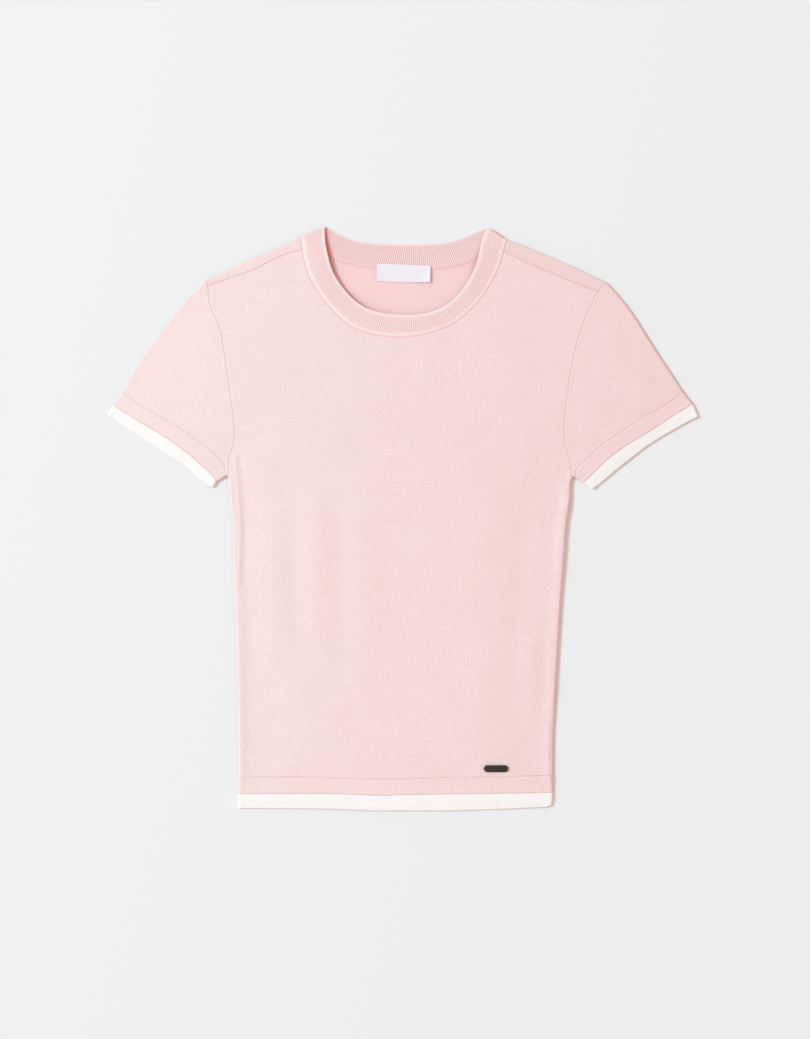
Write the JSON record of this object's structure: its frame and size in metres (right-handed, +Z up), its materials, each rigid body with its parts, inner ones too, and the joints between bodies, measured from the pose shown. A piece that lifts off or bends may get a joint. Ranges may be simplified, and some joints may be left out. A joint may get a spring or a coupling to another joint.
{
  "type": "crop top",
  "caption": "Short-sleeved fine-knit crew-neck crop top with a ribbed neckband and contrast tipping at hem and cuffs, laid flat face up.",
  "frame": {"origin": "on the surface that the top lies on, below the centre of its bounding box", "axes": "+Z up from that surface, +Y towards the neck, +X to the right as the front is seen from above"},
  "size_m": [0.5445, 0.5382, 0.0058],
  "materials": {
    "pink_knit": "fine matt jersey knit",
    "pink_rib": "fine ribbed knit",
    "white_knit": "fine matt jersey knit",
    "label_satin": "woven satin",
    "dark_metal": "dark polished metal"
  },
  "bodies": {
    "root": {"front_panel": "pink_knit", "back_panel": "pink_knit", "sleeve_left": "pink_knit", "sleeve_right": "pink_knit", "cuff_band_left": "pink_knit", "cuff_band_right": "pink_knit", "cuff_tipping_left": "white_knit", "cuff_tipping_right": "white_knit", "hem_band": "pink_knit", "hem_tipping": "white_knit", "neckband": "pink_rib", "neck_label": "label_satin", "hem_badge": "dark_metal"}
  },
  "joints": []
}
